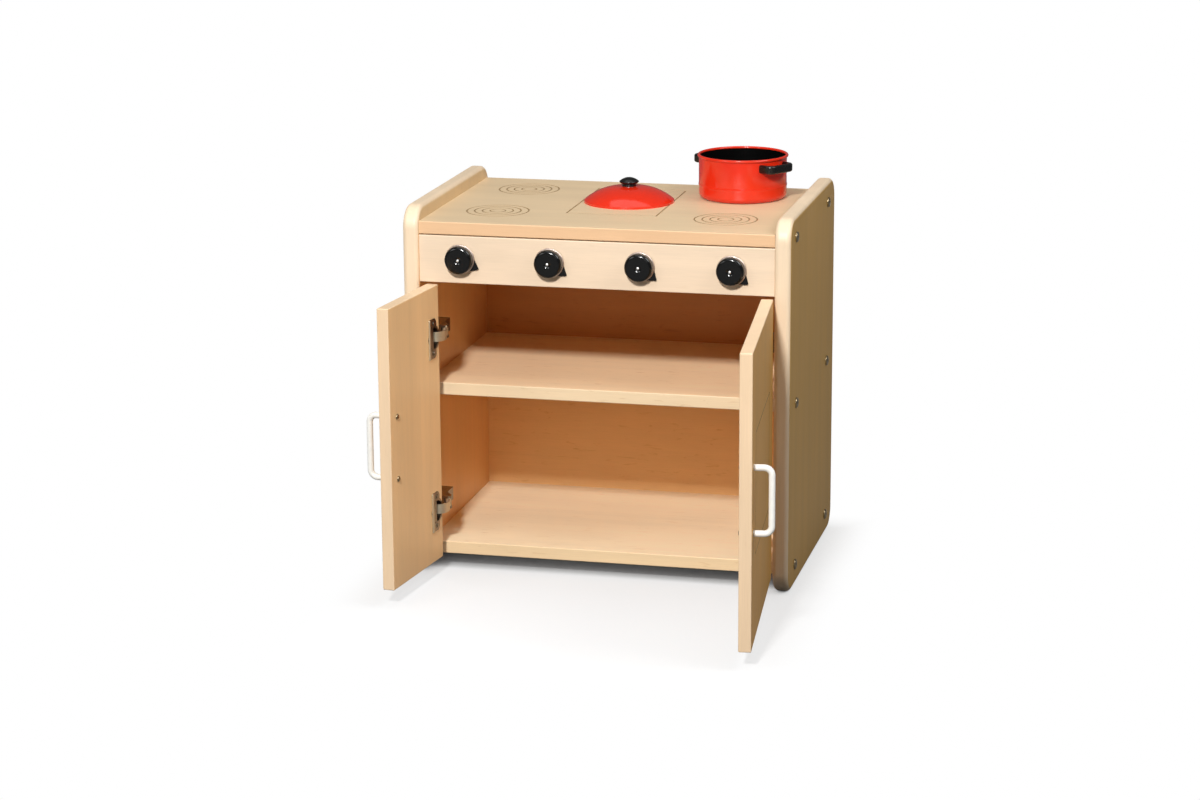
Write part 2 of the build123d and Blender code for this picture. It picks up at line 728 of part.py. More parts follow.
# ---------------------------------------------------------------- lid
lid_centre_x = lid_griddle_offset[0]
lid_centre_y = griddle_middle + lid_griddle_offset[1]
lid_axis = Axis((lid_centre_x, lid_centre_y, hob_top_height), (0, 0, 1))
lid_section = Plane(origin=lid_axis.position, x_dir=(1, 0, 0), z_dir=(0, -1, 0))
lid_inside_top = lid_dome_height - lid_wall
lid_knob_base = Plane(origin=(lid_centre_x, lid_centre_y, hob_top_height + lid_dome_height))

with BuildPart() as lid_cover:
    with BuildSketch(lid_section):
        with BuildLine():
            lid_inside = lid_radius - lid_wall
            Line((0, lid_dome_height), (lid_seat_radius, lid_dome_height))
            TangentArc((lid_seat_radius, lid_dome_height), (lid_radius, lid_band), tangent=(1, 0))
            Line((lid_radius, lid_band), (lid_radius, 0))
            Line((lid_radius, 0), (lid_inside, 0))
            Line((lid_inside, 0), (lid_inside, lid_band))
            TangentArc((lid_seat_radius, lid_inside_top), (lid_inside, lid_band), tangent=(1, 0))
            Line((lid_seat_radius, lid_inside_top), (0, lid_inside_top))
            Line((0, lid_inside_top), (0, lid_dome_height))
        make_face()
    revolve(axis=lid_axis)
    with BuildSketch(lid_knob_base):
        Circle(lid_screw / 2)
    extrude(amount=-lid_wall, mode=Mode.SUBTRACT)
save(lid_cover, "lid_cover")

with BuildPart() as lid_knob:
    with BuildSketch(Plane(origin=lid_knob_base.origin, x_dir=(1, 0, 0), z_dir=(0, -1, 0))):
        with BuildLine():
            cap_edge = (lid_knob_cap_radius, lid_knob_waist_height + lid_knob_lip_height)
            Polyline(
                (0, lid_knob_height),
                (0, 0),
                (lid_knob_foot_radius, 0),
                (lid_knob_waist_radius, lid_knob_waist_height),
                (lid_knob_cap_radius - lid_knob_lip, lid_knob_waist_height),
                cap_edge,
            )
            TangentArc((0, lid_knob_height), cap_edge, tangent=(1, 0))
        make_face()
    revolve(axis=lid_axis)
    with BuildSketch(lid_knob_base):
        Circle(lid_screw / 2)
    extrude(amount=lid_screw_reach, mode=Mode.SUBTRACT)
save(lid_knob, "lid_knob")

with BuildPart() as lid_screw_piece:
    with BuildSketch(lid_knob_base.offset(-lid_wall)):
        Circle(lid_screw / 2)
    extrude(amount=lid_wall + lid_screw_reach)
    with BuildSketch(lid_knob_base.offset(-lid_wall)):
        Circle(lid_screw_head / 2)
    extrude(amount=-lid_screw_head_height)
    fillet(lid_screw_piece.faces().sort_by(Axis.Z)[0].edges(), lid_screw_head_round)
save(lid_screw_piece, "lid_screw")
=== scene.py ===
import json
from math import atan2, cos, pi, radians, sin

import bpy
from mathutils import Euler, Matrix, Vector


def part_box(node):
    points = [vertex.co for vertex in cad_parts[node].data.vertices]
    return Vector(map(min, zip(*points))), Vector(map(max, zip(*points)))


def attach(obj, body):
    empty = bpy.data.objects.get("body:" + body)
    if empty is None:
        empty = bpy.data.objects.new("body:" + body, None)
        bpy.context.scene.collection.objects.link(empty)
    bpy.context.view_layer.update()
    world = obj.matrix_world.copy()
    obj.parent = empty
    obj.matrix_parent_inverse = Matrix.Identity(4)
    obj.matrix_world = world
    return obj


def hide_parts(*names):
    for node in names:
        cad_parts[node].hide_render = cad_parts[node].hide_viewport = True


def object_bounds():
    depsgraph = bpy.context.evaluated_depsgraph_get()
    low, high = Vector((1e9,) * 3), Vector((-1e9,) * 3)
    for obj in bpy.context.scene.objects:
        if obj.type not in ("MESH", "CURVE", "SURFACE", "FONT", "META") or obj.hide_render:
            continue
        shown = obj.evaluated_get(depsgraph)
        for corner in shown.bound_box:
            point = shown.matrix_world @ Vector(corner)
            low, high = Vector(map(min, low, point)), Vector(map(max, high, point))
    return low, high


# A child's wooden play cooker: lacquered maple boards, black knobs, white wire handles, nickel hinges,
# and a red enamelled pot with its lid. Metres, with +Z up and the cook standing at -Y.

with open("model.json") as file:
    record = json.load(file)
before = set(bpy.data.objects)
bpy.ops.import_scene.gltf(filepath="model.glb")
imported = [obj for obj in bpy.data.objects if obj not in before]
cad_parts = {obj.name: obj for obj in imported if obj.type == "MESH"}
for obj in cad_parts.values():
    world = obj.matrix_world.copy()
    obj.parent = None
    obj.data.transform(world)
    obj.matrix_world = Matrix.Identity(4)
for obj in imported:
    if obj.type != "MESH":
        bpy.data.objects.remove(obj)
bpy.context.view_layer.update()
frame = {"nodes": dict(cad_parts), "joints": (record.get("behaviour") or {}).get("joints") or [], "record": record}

MM = 0.001
ACROSS, BACKWARDS, UP = (1, 0, 0), (0, 1, 0), (0, 0, 1)
SIDES = {"left": -1, "right": 1}
LEVELS = ("lower", "upper")
KNOB_COUNT = 4
SMOOTH_ANGLE = radians(32)       # edges that turn by more stay crisp
FLAT_ANGLE = radians(0.3)        # faces that turn by less are one face
SEAM = 0.001 * MM                # corners nearer than this are one


# ---------------------------------------------------------------- materials
def linear(hex_colour):
    """An sRGB hex colour as the linear red, green, blue and alpha that a socket takes."""
    channels = [int(hex_colour[start:start + 2], 16) / 255 for start in (0, 2, 4)]
    return [c / 12.92 if c <= 0.04045 else ((c + 0.055) / 1.055) ** 2.4 for c in channels] + [1.0]


def add(tree, kind, inputs=(), **settings):
    """Adds a node. Settings are its own properties; inputs pair a socket with a value or a node's output."""
    made = tree.nodes.new(kind)
    for name, value in settings.items():
        setattr(made, name, value)
    for socket, value in dict(inputs).items():
        if isinstance(value, bpy.types.NodeSocket):
            tree.links.new(value, made.inputs[socket])
        else:
            made.inputs[socket].default_value = value
    return made


def new_material(name):
    """An empty node material and its tree, with an output that waits for a shader."""
    material = bpy.data.materials.new(name)
    material.use_nodes = True
    tree = material.node_tree
    tree.nodes.clear()
    return material, tree


def close_material(tree, **sockets):
    """Ends a material in one Principled shader; sockets are named with underscores for spaces."""
    inputs = {name.replace("_", " "): value for name, value in sockets.items()}
    shader = add(tree, "ShaderNodeBsdfPrincipled", inputs)
    add(tree, "ShaderNodeOutputMaterial", {"Surface": shader.outputs["BSDF"]})


def grain_coordinates(tree, grain, along, across):
    """Object coordinates in which a unit of noise is `along` metres down the grain and `across` over it."""
    place = add(tree, "ShaderNodeTexCoord").outputs["Object"]
    scale = [1 / along if abs(axis) > 0.5 else 1 / across for axis in grain]
    return add(tree, "ShaderNodeMapping", {"Vector": place, "Scale": scale}).outputs["Vector"]


NOISE_SPREAD = {"From Min": 0.3, "From Max": 0.7}    # nearly all of a noise's values lie between these
FACE_TURN = {"From Min": 0.72, "From Max": 0.97}     # edging gives way to veneer; squared cosines of the turn
FLECK_SHARE = {"From Min": 0.63, "From Max": 0.78}   # only the noise's peaks are flecks
FLECK_COLOUR = (0.80, 0.70, 0.58)                    # times the wood's own, darker and redder
LACQUER_IOR = 1.49
LACQUER_ROUGHNESS = (0.40, 0.48)
PORE_RELIEF = 0.05 * MM


def maple(name, colours, face_normal, grain, figure=0.5, painted_lit_band=None):
    """Maple-veneered board with solid maple edging, sanded and sprayed with satin lacquer.

    The colours are those of the face, of the reverse and of the edging. The edging keeps the maple's own pale
    colour; the face and reverse colours are set board by board as painted light and shade, darker and warmer
    where a face lies in shade. The veneer shows soft bands down the grain, a few short dark flecks and a fine
    pore streak. A painted band of light, given as (lowest, highest, colour), covers the reverse between two
    heights, where it lies out of the painted shade.
    """
    face_hex, reverse_hex, edge_hex = colours
    material, tree = new_material(name)
    # Each pattern's two sizes are those of one patch of it, down the grain and over it.
    bands = add(tree, "ShaderNodeTexNoise", {
        "Vector": grain_coordinates(tree, grain, 700 * MM, 34 * MM), "Scale": 1.0, "Detail": 4.0,
        "Roughness": 0.55, "Distortion": 0.35})
    clouds = add(tree, "ShaderNodeTexNoise", {
        "Vector": grain_coordinates(tree, grain, 210 * MM, 120 * MM), "Scale": 1.0, "Detail": 2.0})
    # Real pores are about 0.1 mm wide; they are drawn at 1.3 mm so that they show from a few metres.
    pores = add(tree, "ShaderNodeTexNoise", {
        "Vector": grain_coordinates(tree, grain, 46 * MM, 1.3 * MM), "Scale": 1.0, "Detail": 3.0,
        "Roughness": 0.6})
    flecks = add(tree, "ShaderNodeTexNoise", {
        "Vector": grain_coordinates(tree, grain, 30 * MM, 5 * MM), "Scale": 1.0, "Detail": 2.0,
        "Distortion": 0.8})
    fleck_mask = add(tree, "ShaderNodeMapRange", {**FLECK_SHARE, "Value": flecks.outputs["Fac"],
                                                  "To Max": figure})

    # Face or edging, by how nearly the surface faces the way the board does.
    normal = add(tree, "ShaderNodeTexCoord").outputs["Normal"]
    facing = add(tree, "ShaderNodeVectorMath", {0: normal, 1: face_normal}, operation="DOT_PRODUCT")
    squared = add(tree, "ShaderNodeMath", {0: facing.outputs["Value"], 1: facing.outputs["Value"]},
                  operation="MULTIPLY")
    on_face = add(tree, "ShaderNodeMapRange", {**FACE_TURN, "Value": squared.outputs["Value"]},
                  interpolation_type="SMOOTHSTEP")
    front = add(tree, "ShaderNodeMath", {0: facing.outputs["Value"], 1: 0.0}, operation="GREATER_THAN")
    reverse = linear(reverse_hex)
    # Painted light: between the band's two heights the reverse takes the band's paler colour, in place of the
    # painted shade elsewhere.
    if painted_lit_band:
        lowest, highest, lit_band_hex = painted_lit_band
        place = add(tree, "ShaderNodeSeparateXYZ", {0: add(tree, "ShaderNodeTexCoord").outputs["Object"]})
        within = add(tree, "ShaderNodeMath", {0: place.outputs["Z"], 1: (lowest + highest) / 2,
                                              2: (highest - lowest) / 2}, operation="COMPARE")
        reverse = add(tree, "ShaderNodeMix", {
            "Factor": within.outputs["Value"], "A": reverse, "B": linear(lit_band_hex)},
            data_type="RGBA").outputs["Result"]
    veneer = add(tree, "ShaderNodeMix", {
        "Factor": front.outputs["Value"], "A": reverse, "B": linear(face_hex)}, data_type="RGBA")
    wood = add(tree, "ShaderNodeMix", {
        "Factor": on_face.outputs["Result"], "A": linear(edge_hex), "B": veneer.outputs["Result"]},
        data_type="RGBA")

    # The three patterns lighten or darken the wood by a few hundredths each.
    shaded = wood.outputs["Result"]
    for pattern, darkest, palest in ((bands, 0.95, 1.04), (clouds, 0.965, 1.03), (pores, 0.965, 1.025)):
        tone = add(tree, "ShaderNodeMapRange", {
            **NOISE_SPREAD, "Value": pattern.outputs["Fac"], "To Min": darkest, "To Max": palest})
        shaded = add(tree, "ShaderNodeVectorMath", {0: shaded, "Scale": tone.outputs["Result"]},
                     operation="SCALE").outputs["Vector"]
    darker = add(tree, "ShaderNodeVectorMath", {0: shaded, 1: FLECK_COLOUR}, operation="MULTIPLY")
    flecked = add(tree, "ShaderNodeMix", {
        "Factor": fleck_mask.outputs["Result"], "A": shaded, "B": darker.outputs["Vector"]},
        data_type="RGBA")
    gloss = add(tree, "ShaderNodeMapRange", {
        **NOISE_SPREAD, "Value": pores.outputs["Fac"],
        "To Min": LACQUER_ROUGHNESS[0], "To Max": LACQUER_ROUGHNESS[1]})
    relief = add(tree, "ShaderNodeBump", {
        "Height": pores.outputs["Fac"], "Strength": 0.25, "Distance": PORE_RELIEF})
    close_material(tree, Base_Color=flecked.outputs["Result"], Roughness=gloss.outputs["Result"],
                   IOR=LACQUER_IOR, Normal=relief.outputs["Normal"])
    return material


COAT_GRIT = 1.6 * MM             # patch size of the slight changes in a coat's gloss
GRIT_SHARE = 0.15                # by which they lower or raise its roughness


def coated(name, hex_colour, roughness, ior=1.5, metallic=0.0, ripple=0.02 * MM, ripple_size=9 * MM,
           mottle=0.03):
    """A moulded, enamelled, painted or plated finish in one colour, slightly wavy and faintly mottled."""
    material, tree = new_material(name)
    place = add(tree, "ShaderNodeTexCoord").outputs["Object"]
    waves = add(tree, "ShaderNodeTexNoise", {"Vector": place, "Scale": 1 / ripple_size, "Detail": 2.0})
    grit = add(tree, "ShaderNodeTexNoise", {"Vector": place, "Scale": 1 / COAT_GRIT, "Detail": 2.0})
    tone = add(tree, "ShaderNodeMapRange", {
        **NOISE_SPREAD, "Value": waves.outputs["Fac"], "To Min": 1 - mottle, "To Max": 1 + mottle})
    colour = add(tree, "ShaderNodeVectorMath", {0: linear(hex_colour)[:3], "Scale": tone.outputs["Result"]},
                 operation="SCALE")
    gloss = add(tree, "ShaderNodeMapRange", {
        **NOISE_SPREAD, "Value": grit.outputs["Fac"],
        "To Min": roughness * (1 - GRIT_SHARE), "To Max": roughness * (1 + GRIT_SHARE)})
    relief = add(tree, "ShaderNodeBump", {"Height": waves.outputs["Fac"], "Distance": ripple})
    close_material(tree, Base_Color=colour.outputs["Vector"], Roughness=gloss.outputs["Result"], IOR=ior,
                   Metallic=metallic, Normal=relief.outputs["Normal"])
    return material


# ---------------------------------------------------------------- modelling
def deselect():
    bpy.ops.object.select_all(action="DESELECT")


def make_active(piece):
    deselect()
    piece.select_set(True)
    bpy.context.view_layer.objects.active = piece


def edit_corners(piece, chosen):
    """Opens a piece in edit mode with only the corners selected whose place the chosen function picks."""
    make_active(piece)
    bpy.ops.object.mode_set(mode="EDIT")
    bpy.ops.mesh.select_mode(type="VERT")
    bpy.ops.mesh.select_all(action="DESELECT")
    bpy.ops.object.mode_set(mode="OBJECT")
    for vertex in piece.data.vertices:
        vertex.select = chosen(vertex.co)
    bpy.ops.object.mode_set(mode="EDIT")


def settle(piece):
    """Applies a piece's place, turn and scale to its mesh, so that its object sits at the origin."""
    make_active(piece)
    bpy.ops.object.transform_apply(location=True, rotation=True, scale=True)


def smooth(piece):
    """Shades the rounded edges smooth and keeps flat faces flat and sharp edges crisp."""
    make_active(piece)
    bpy.ops.object.shade_smooth_by_angle(angle=SMOOTH_ANGLE)
    weighted = piece.modifiers.new("even_shading", "WEIGHTED_NORMAL")
    weighted.keep_sharp = True
    bpy.ops.object.modifier_apply(modifier=weighted.name)


def finish_piece(piece, body):
    """Gives a finished piece its body."""
    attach(piece, body)


def body_of_node(node):
    bodies = frame["record"]["behaviour"]["bodies"]
    return next(body for body, members in bodies.items() if node in members)


def refine(node, material, shape=None):
    """Replaces a CAD node by a copy with its seams merged, its flat faces made whole and its rounded edges
    shaded smooth. The shape function, if there is one, works on the piece before it is shaded."""
    source = frame["nodes"][node]
    piece = bpy.data.objects.new(f"{node}_finished", source.data.copy())
    bpy.context.scene.collection.objects.link(piece)
    make_active(piece)
    bpy.ops.object.mode_set(mode="EDIT")
    bpy.ops.mesh.select_all(action="SELECT")
    bpy.ops.mesh.remove_doubles(threshold=SEAM)
    bpy.ops.mesh.dissolve_limited(angle_limit=FLAT_ANGLE)
    bpy.ops.object.mode_set(mode="OBJECT")
    piece.data.materials.clear()
    piece.data.materials.append(material)
    if shape:
        shape(piece)
    smooth(piece)
    finish_piece(piece, body_of_node(node))
    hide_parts(node)


def give_material(piece, material, chosen):
    """Gives a second material to the faces that the chosen function picks by their centre and normal."""
    piece.data.materials.append(material)
    for face in piece.data.polygons:
        if chosen(face.center, face.normal):
            face.material_index = len(piece.data.materials) - 1


def engraved(face_normal, line_material):
    """A shape function: gives the walls and floors of the lines cut in a board's face their own material."""
    normal = Vector(face_normal)
    across = Vector(ACROSS) if face_normal == UP else normal.cross(UP)
    directions = (across, normal.cross(across))

    def shape(piece):
        corners = [vertex.co for vertex in piece.data.vertices]
        surface = max(corner.dot(normal) for corner in corners)
        spans = []
        for way in directions:
            reaches = [corner.dot(way) for corner in corners]
            spans.append((way, min(reaches) + LINE_TO_EDGE, max(reaches) - LINE_TO_EDGE))

        def in_line(centre, _):
            depth = surface - centre.dot(normal)
            clear_of_edges = all(low < centre.dot(way) < high for way, low, high in spans)
            return LINE_SHALLOWEST < depth < LINE_DEPTH and clear_of_edges

        give_material(piece, line_material, in_line)
    return shape


def turned(name, profile, steps):
    """A turned solid about the Z axis: a disc drawn up, ring by ring, through (radius, height) points."""
    deselect()
    radius, height = profile[0]
    bpy.ops.mesh.primitive_circle_add(vertices=steps, radius=radius, fill_type="NGON",
                                      location=(0, 0, height))
    piece = bpy.context.object
    piece.name = name
    settle(piece)
    bpy.ops.object.mode_set(mode="EDIT")
    bpy.ops.mesh.select_all(action="SELECT")
    for next_radius, next_height in profile[1:]:
        bpy.ops.mesh.extrude_region_move(TRANSFORM_OT_translate={"value": (0, 0, next_height - height)})
        ratio = next_radius / radius
        bpy.ops.transform.resize(value=(ratio, ratio, 1), center_override=(0, 0, 0))
        radius, height = next_radius, next_height
    bpy.ops.mesh.select_all(action="SELECT")
    bpy.ops.mesh.normals_make_consistent(inside=False)
    bpy.ops.object.mode_set(mode="OBJECT")
    return piece


def joined(pieces, name):
    """Several meshes as one piece."""
    deselect()
    for piece in pieces:
        piece.select_set(True)
    bpy.context.view_layer.objects.active = pieces[0]
    bpy.ops.object.join()
    pieces[0].name = name


def copied(piece, name):
    """A second piece with a mesh of its own."""
    twin = piece.copy()
    twin.data = piece.data.copy()
    twin.name = name
    bpy.context.scene.collection.objects.link(twin)
    return twin


# ---------------------------------------------------------------- finishes of this object
# Face, reverse and edging of each board. Their colours hold painted light and shade: faces in shade are
# painted darker and warmer, the cupboard's inside most of all, and faces in full light are painted paler.
HOB_WOOD = ("DEC49E", "DEC49E", "E2B98F")
PANEL_WOOD = ("E6CEB2", "E6CEB2", "E6CEB2")
# Painted shade: the sides' outer face is darker and browner than the maple, and their inner face warmer for the
# cupboard's shade.
SIDE_WOOD = ("D5A551", "EDB577", "E9D1B2")        # the reverse is the side's inner face
# Painted light: the inner face above the hob, out of the cupboard's shade, in a paler colour.
SIDE_ABOVE_HOB = "DDBE90"
# Painted shade on the doors' outer face, darker and more orange; painted light on their inner face, paler.
DOOR_WOOD = ("E6AC54", "F8CD97", "E7C9A5")
# Painted light on the tops of the shelf and bottom board, paler than the maple; painted shade on their undersides,
# darker and warmer.
SHELF_WOOD = ("FFDCB2", "E0A868", "E2CAA6")
BOTTOM_WOOD = ("FFEBC6", "E0A868", "EED0A5")
# Painted shade: the back panel's inner face, its reverse, is dark and warm for the upper compartment's shade;
# below the shelf it is painted paler as painted light where the lamps reach.
BACK_WOOD = ("D9A15F", "D38D45", "D9A15F")
BACK_BELOW_SHELF = "EEBC7F"
LINE_WOOD = ("A68A62", "A68A62", "A68A62")        # darker than the board's face
LINE_SHALLOWEST = 0.1 * MM       # the walls and floors of the engraved lines lie between these depths
LINE_DEPTH = 1.0 * MM
LINE_TO_EDGE = 8 * MM            # and no line is nearer than this to a board's edge

hob_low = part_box("hob_top")[0]
shelf_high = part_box("shelf")[1]
object_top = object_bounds()[1][2]
maple_hob = maple("maple_hob", HOB_WOOD, UP, ACROSS, figure=0.15)
maple_line = maple("maple_engraved_line", LINE_WOOD, UP, ACROSS, figure=0.0)
maple_front = maple("maple_control_panel", PANEL_WOOD, BACKWARDS, ACROSS, figure=0.15)
maple_sides = {side: maple(f"maple_{side}_side", SIDE_WOOD, (sign, 0, 0), UP, figure=0.1,
                           painted_lit_band=(hob_low.z, object_top, SIDE_ABOVE_HOB))
               for side, sign in SIDES.items()}
maple_shelf = maple("maple_shelf", SHELF_WOOD, UP, ACROSS, figure=0.9)
maple_bottom = maple("maple_bottom_board", BOTTOM_WOOD, UP, ACROSS, figure=0.6)
maple_back = maple("maple_back_panel", BACK_WOOD, BACKWARDS, ACROSS, figure=0.8,
                   painted_lit_band=(0.0, shelf_high.z, BACK_BELOW_SHELF))

# Hard black phenolic plastic, moulded and polished: a deep gloss with small sharp highlights.
black_knob = coated("black_moulded_phenolic", "060606", 0.16, ripple=0.01 * MM)
# Nickel plate on a turned ring: the turning marks blur what it mirrors into a soft pale band.
ring_metal = coated("satin_nickel_ring", "C9B8AE", 0.42, metallic=1.0)
# Powder coat baked on bent rod: plain bright white with soft-edged highlights.
white_coat = coated("white_powder_coat", "F0EEE7", 0.3, ripple=0.01 * MM)
# Nickel plate on pressed steel: dull grey-brown in the shade of the cupboard, pale where it meets the light.
nickel = coated("nickel_plated_steel", "8F8578", 0.3, metallic=1.0)
# The same plate, brushed and more matt, and painted paler as painted light, so that the links and the cup's lip
# look lit and stand out from the cups.
link_nickel = coated("brushed_nickel_link", "D8CBB0", 0.5, metallic=1.0)
# Yellow zinc plate: faintly golden bolt heads with a soft glint.
bolt_metal = coated("yellow_zinc_plated_steel", "A08F72", 0.32, metallic=1.0)
# Vitreous enamel fired on sheet steel: full red under a glassy skin whose slow waves bend the highlights.
red_enamel = coated("red_vitreous_enamel", "D02910", 0.14, ior=1.55, ripple=0.35 * MM, ripple_size=26 * MM)
# The same in black inside the pot: almost no colour, and a thin gleam along the rim.
black_enamel = coated("black_vitreous_enamel", "050505", 0.2, ior=1.55)
# Moulded grips: black as well, but with a broader, duller shine than the knobs.
grip_black = coated("black_moulded_grip", "080908", 0.3)
# A buffed steel stud: one bright point in the dark dish of the knob.
polished_steel = coated("polished_steel", "F6F5F2", 0.48, metallic=1.0)
# Turned steel as it leaves the lathe: plain grey, for what stays out of sight.
plain_steel = coated("plain_steel", "8F8F8F", 0.4, metallic=1.0)

# ---------------------------------------------------------------- boards
for side in SIDES:
    refine(f"{side}_side_panel", maple_sides[side])
refine("hob_top", maple_hob, engraved(UP, maple_line))
refine("control_panel", maple_front)
refine("shelf", maple_shelf)
refine("bottom_board", maple_bottom)
refine("back_panel", maple_back)


def door_ways(side):
    """The way that an open door's outer face looks, and the way to its free edge from its hinges."""
    joint = next(joint for joint in frame["joints"] if joint["child"] == f"{side}_door")
    turn = radians(SIDES[side] * joint["range_deg"][1])     # shut at the end of its travel, and built open
    outward = Vector((sin(turn), -cos(turn), 0))
    return outward, -SIDES[side] * Vector((cos(turn), sin(turn), 0))


for side in SIDES:
    outward, _ = door_ways(side)
    refine(f"{side}_door_panel", maple(f"maple_{side}_door", DOOR_WOOD, outward, UP, figure=0.2),
           engraved(outward, maple_line))

# ---------------------------------------------------------------- hinges and hidden fittings
LINK_WIDTH = 12 * MM
LINK_COVER_WIDTH = 15 * MM       # of the channel that covers each link
FLANGE_LENGTH = 62 * MM
FLANGE_STRIP = 15 * MM           # width of the cup flange's straight side, away from the door's edge
FLANGE_LIP = 4.5 * MM            # width of the rolled lip along it
FLANGE_THICKNESS = 1.5 * MM
LIP_THICKNESS = 3.0 * MM
BAR_ROUND = 0.4                  # rounding of the strip's and the lip's edges, as a share of their thickness


def widened_links(piece):
    """Stretches both links of a door upright, each about its own middle, to the width of their cover."""
    heights = [vertex.co.z for vertex in piece.data.vertices]
    between = (min(heights) + max(heights)) / 2
    for upper in (False, True):
        own = [height for height in heights if (height > between) == upper]
        edit_corners(piece, lambda place: (place.z > between) == upper)
        bpy.ops.transform.resize(value=(1, 1, LINK_COVER_WIDTH / LINK_WIDTH),
                                 center_override=(0, 0, (min(own) + max(own)) / 2))
        bpy.ops.object.mode_set(mode="OBJECT")


def rounded_bar(name, width, thickness, length, metal):
    """A bar with rounded edges about the origin: its width along X, its thickness along Y, upright."""
    deselect()
    bpy.ops.mesh.primitive_cube_add(size=1, scale=(width, thickness, length))
    bar = bpy.context.object
    bar.name = name
    settle(bar)
    bpy.ops.object.mode_set(mode="EDIT")
    bpy.ops.mesh.select_all(action="SELECT")
    bpy.ops.mesh.bevel(offset=BAR_ROUND * thickness, segments=3)
    bpy.ops.object.mode_set(mode="OBJECT")
    bar.data.materials.append(metal)
    return bar


flange_strip = rounded_bar("flange_strip", FLANGE_STRIP, FLANGE_THICKNESS, FLANGE_LENGTH, nickel)
flange_lip = rounded_bar("flange_lip", FLANGE_LIP, LIP_THICKNESS, FLANGE_LENGTH, link_nickel)


def straight_flange(side):
    """A shape function: squares a hinge cup's flange away from the door's edge and lays a lip along it."""
    outward, away_from_edge = door_ways(side)

    def shape(piece):
        corners = [vertex.co.copy() for vertex in piece.data.vertices]
        end = max(corner.dot(away_from_edge) for corner in corners)
        door_face = min(corner.dot(outward) for corner in corners) + FLANGE_THICKNESS
        middle_height = (min(corner.z for corner in corners) + max(corner.z for corner in corners)) / 2
        parts = [piece]
        for bar, width, thickness, inset in ((flange_strip, FLANGE_STRIP, FLANGE_THICKNESS, FLANGE_LIP / 2),
                                             (flange_lip, FLANGE_LIP, LIP_THICKNESS, 0)):
            part = copied(bar, f"{piece.name}_part")
            part.location = (away_from_edge * (end - inset - width / 2)
                             + outward * (door_face - thickness / 2) + Vector((0, 0, middle_height)))
            part.rotation_euler = (0, 0, atan2(away_from_edge.y, away_from_edge.x))
            settle(part)
            parts.append(part)
        joined(parts, piece.name)
    return shape


for side in SIDES:
    for level in LEVELS:
        refine(f"{side}_{level}_hinge_cup", nickel, straight_flange(side))
        for fitting in ("plate", "arm"):
            refine(f"{side}_{level}_hinge_{fitting}", nickel)
    refine(f"{side}_hinge_links", link_nickel, widened_links)
    refine(f"{side}_cup_screws", nickel)
    refine(f"{side}_plate_screws", nickel)
    refine(f"{side}_handle_screws", bolt_metal)
    refine(f"{side}_side_bolts", bolt_metal)
    refine(f"{side}_door_handle", white_coat)
refine("back_screws", bolt_metal)
for bar in (flange_strip, flange_lip):
    bpy.data.objects.remove(bar)

# ---------------------------------------------------------------- knobs
# Each cap is dished round its middle, where a polished stud closes the screw's hole.
DISH_RADIUS = 6.0 * MM
DISH_DEPTH = 1.5 * MM
DISH_BALL = (DISH_RADIUS ** 2 + DISH_DEPTH ** 2) / (2 * DISH_DEPTH)
STUD_RADIUS = 2.3 * MM
STUD_HEIGHT = 1.3 * MM
STUD_END_ANGLE = radians(85)     # the dome ends in a small flat
STUD_RINGS = 8
STUD_STEPS = 40                  # segments round the stud
BALL_STEPS = 96                  # and round the ball that hollows the dish

deselect()
bpy.ops.mesh.primitive_uv_sphere_add(segments=BALL_STEPS, ring_count=BALL_STEPS, radius=DISH_BALL,
                                     rotation=(pi / 2, 0, 0))
dish_ball = bpy.context.object

stud_turns = [STUD_END_ANGLE * ring / STUD_RINGS for ring in range(STUD_RINGS + 1)]
stud_dome = [(STUD_RADIUS * cos(turn), STUD_HEIGHT * sin(turn)) for turn in stud_turns]
stud_blank = turned("stud_blank", stud_dome, STUD_STEPS)
stud_blank.data.materials.append(polished_steel)


def dished(middle):
    """A shape function: hollows a knob's cap round the middle of its front with the large ball."""
    def shape(piece):
        dish_ball.location = middle + Vector((0, DISH_DEPTH - DISH_BALL, 0))
        make_active(piece)
        hollow = piece.modifiers.new("dish", "BOOLEAN")
        hollow.operation = "DIFFERENCE"
        hollow.object = dish_ball
        bpy.ops.object.modifier_apply(modifier=hollow.name)
    return shape


for number in range(1, KNOB_COUNT + 1):
    refine(f"knob_{number}_spindle", plain_steel)
    refine(f"knob_{number}_nut", plain_steel)
    refine(f"knob_{number}_skirt", ring_metal)
    cap = f"knob_{number}_cap"
    skirt_low, skirt_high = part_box(f"knob_{number}_skirt")
    middle = Vector(((skirt_low.x + skirt_high.x) / 2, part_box(cap)[0].y, (skirt_low.z + skirt_high.z) / 2))
    refine(cap, black_knob, dished(middle))
    stud = copied(stud_blank, f"knob_{number}_stud")
    stud.rotation_euler = (pi / 2, 0, 0)
    stud.location = middle + Vector((0, DISH_DEPTH, 0))
    settle(stud)
    smooth(stud)
    finish_piece(stud, body_of_node(cap))
for blank in (dish_ball, stud_blank):
    bpy.data.objects.remove(blank)

# ---------------------------------------------------------------- pot and lid
POT_ROLL = 4.6 * MM              # the rolled rim's diameter
POT_RED_RIM = 3.2 * MM           # the red enamel goes over the rolled rim and stops this far below its top
POT_FACES_IN = -0.2              # the inside is what leans in by more than this share of its normal
POT_FACES_UP = 0.5               # or up by more than this one
POT_BEAD_HEIGHT = 22 * MM        # the bead pressed round the wall, above the base
POT_BEAD = ((-2.8 * MM, 0), (-1.4 * MM, 0.36 * MM), (0, 0.5 * MM), (1.4 * MM, 0.36 * MM), (2.8 * MM, 0))
CUT_MATCH = 0.05 * MM            # how near a corner lies to the cut that made it
WALL_MATCH = 0.5 * MM            # and to the wall's outer face

pot_low, pot_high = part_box("pot_body")
pot_axis = (pot_low + pot_high) / 2


def inside_pot(centre, normal):
    outwards = Vector((centre.x - pot_axis.x, centre.y - pot_axis.y, 0))
    faces_in = normal.dot(outwards) < POT_FACES_IN * outwards.length or normal.z > POT_FACES_UP
    return faces_in and centre.z < pot_high.z - POT_RED_RIM


